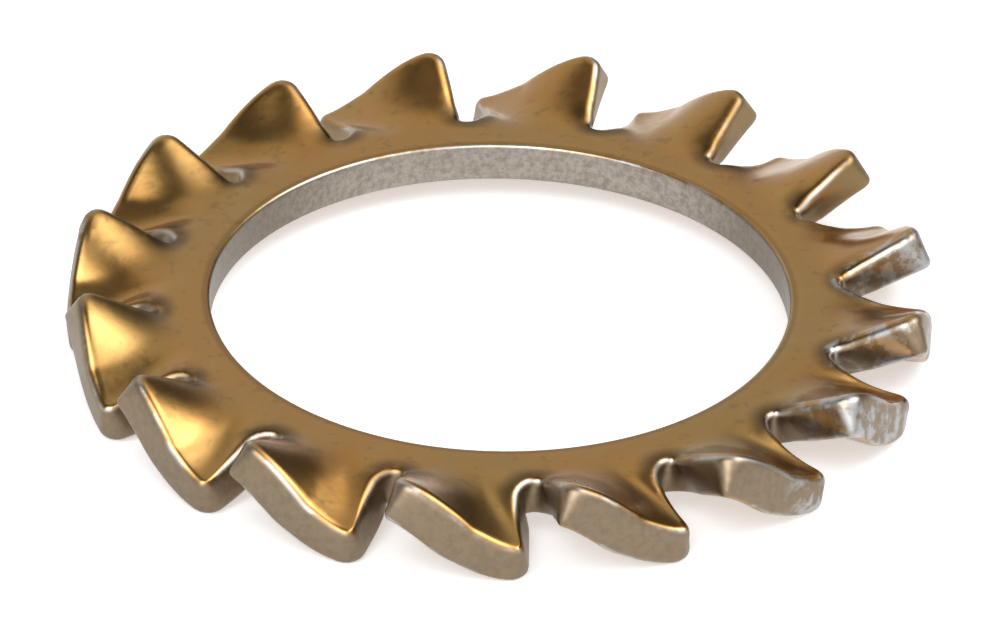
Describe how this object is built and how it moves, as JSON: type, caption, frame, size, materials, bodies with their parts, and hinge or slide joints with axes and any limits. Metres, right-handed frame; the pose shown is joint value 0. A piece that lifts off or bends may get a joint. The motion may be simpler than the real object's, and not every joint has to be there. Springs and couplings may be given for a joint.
{
  "type": "toothed lock washer",
  "caption": "Flat ring washer with twisted teeth round its outer edge that bite into a screw head and the work to stop a screw from loosening.",
  "frame": {"origin": "on the bore's axis, halfway through the sheet of the flat ring", "axes": "+Z along the bore's axis, towards the side where each tooth's clockwise edge is raised; +X through the middle of a tooth"},
  "size_m": [0.02, 0.02, 0.0026],
  "materials": {
    "yellow_passivated_steel": "zinc-plated and yellow-passivated spring steel, satin on the faces and greyer on the cut edges"
  },
  "bodies": {
    "root": {"lock_washer": "yellow_passivated_steel"}
  },
  "joints": []
}
